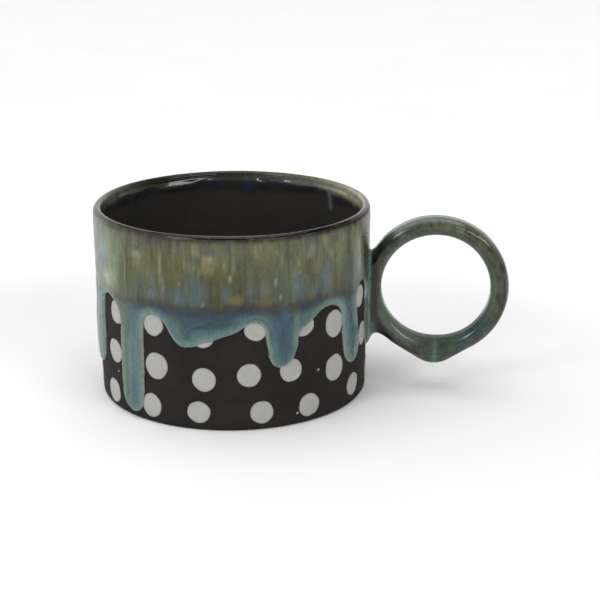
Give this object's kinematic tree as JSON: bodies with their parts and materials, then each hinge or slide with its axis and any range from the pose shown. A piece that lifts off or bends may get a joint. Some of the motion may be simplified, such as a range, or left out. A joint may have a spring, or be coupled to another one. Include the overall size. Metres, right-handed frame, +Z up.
{
  "type": "mug",
  "caption": "Low straight-sided stoneware mug with a ring handle, dotted slip on dark clay and a running glaze below the rim.",
  "frame": {"origin": "middle of the foot, on the surface that the mug stands on", "axes": "+X towards the handle, +Z up out of the mouth, +Y completes a right-handed frame"},
  "size_m": [0.1563, 0.104, 0.072],
  "materials": {
    "dark_clay": "bare dark brown-black stoneware, matt",
    "pale_slip": "pale grey-white slip, matt",
    "black_liner": "near-black liner glaze, glossy",
    "olive_lap": "olive glaze lapped over the rim, glossy",
    "running_glaze": "streaked olive, grey-green and blue running glaze, semi-gloss",
    "handle_glaze": "mottled dark green-grey glaze, glossy"
  },
  "bodies": {
    "root": {"cup_wall": "dark_clay", "cup_floor": "dark_clay", "corner_coil": "dark_clay", "handle_ring": "dark_clay", "handle_fillets": "dark_clay", "slip_dots": "pale_slip", "liner_glaze": "black_liner", "inner_rim_glaze": "olive_lap", "outer_glaze": "running_glaze", "handle_glaze": "handle_glaze"}
  },
  "joints": []
}
